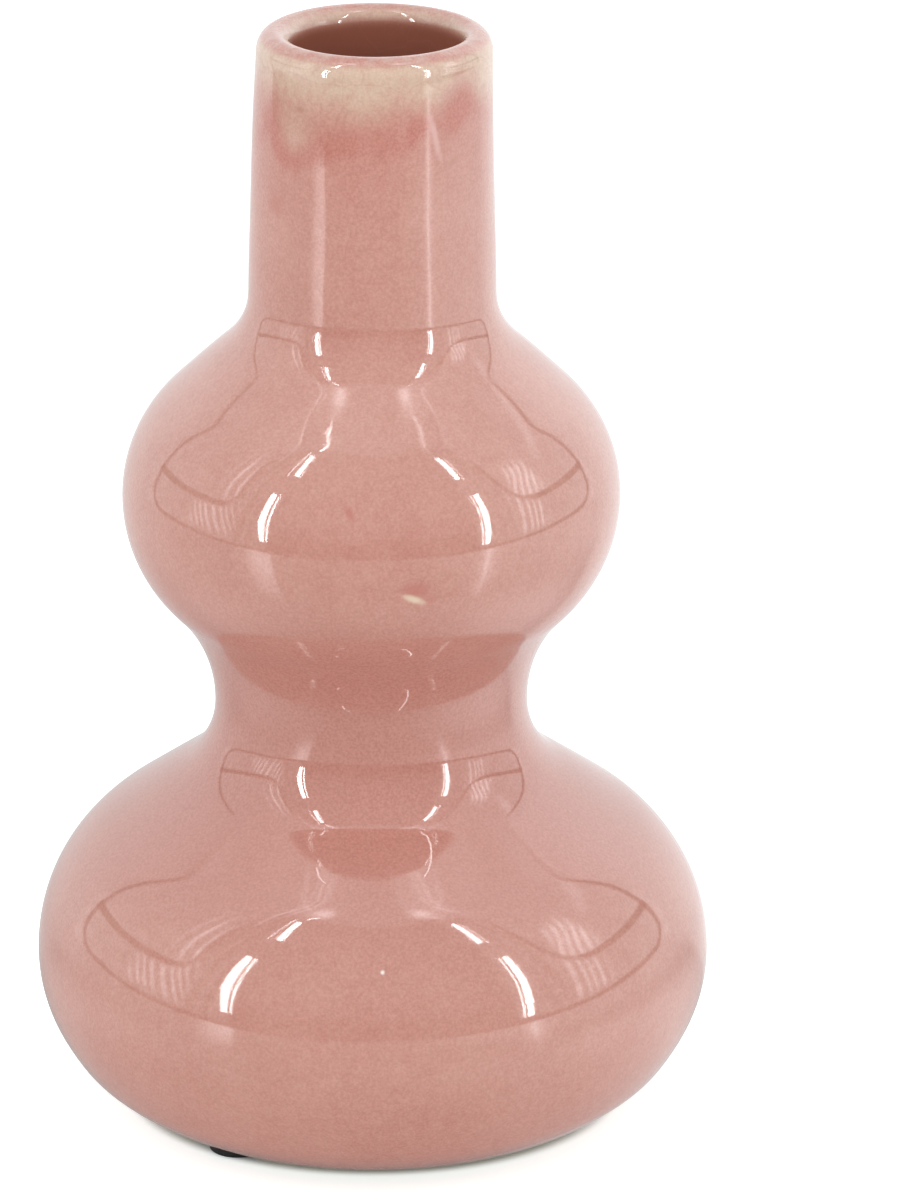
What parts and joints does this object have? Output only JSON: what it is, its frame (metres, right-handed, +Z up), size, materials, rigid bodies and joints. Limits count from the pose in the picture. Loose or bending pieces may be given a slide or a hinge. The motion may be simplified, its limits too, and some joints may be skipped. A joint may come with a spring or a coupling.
{
  "type": "vase",
  "caption": "Double-bellied earthenware vase with a narrow waist, a straight tapered neck, a rounded lip and stick-on rubber feet.",
  "frame": {"origin": "centre of the stance, on the surface that the foot pads stand on, under the axis of the pot", "axes": "+Z up along the axis of the pot; -Y towards the viewer of the picture; +X to the viewer's right"},
  "size_m": [0.12, 0.12, 0.1972],
  "materials": {
    "pink_crackle_glaze": "glossy salmon-pink crackle glaze over cream earthenware",
    "black_rubber": "matt black rubber",
    "adhesive_film": "thin cloudy adhesive film"
  },
  "bodies": {
    "root": {"vase_body": "pink_crackle_glaze", "foot_pad_front_left": "black_rubber", "foot_pad_right": "black_rubber", "foot_pad_back": "black_rubber", "pad_adhesive_front_left": "adhesive_film", "pad_adhesive_right": "adhesive_film", "pad_adhesive_back": "adhesive_film"}
  },
  "joints": []
}
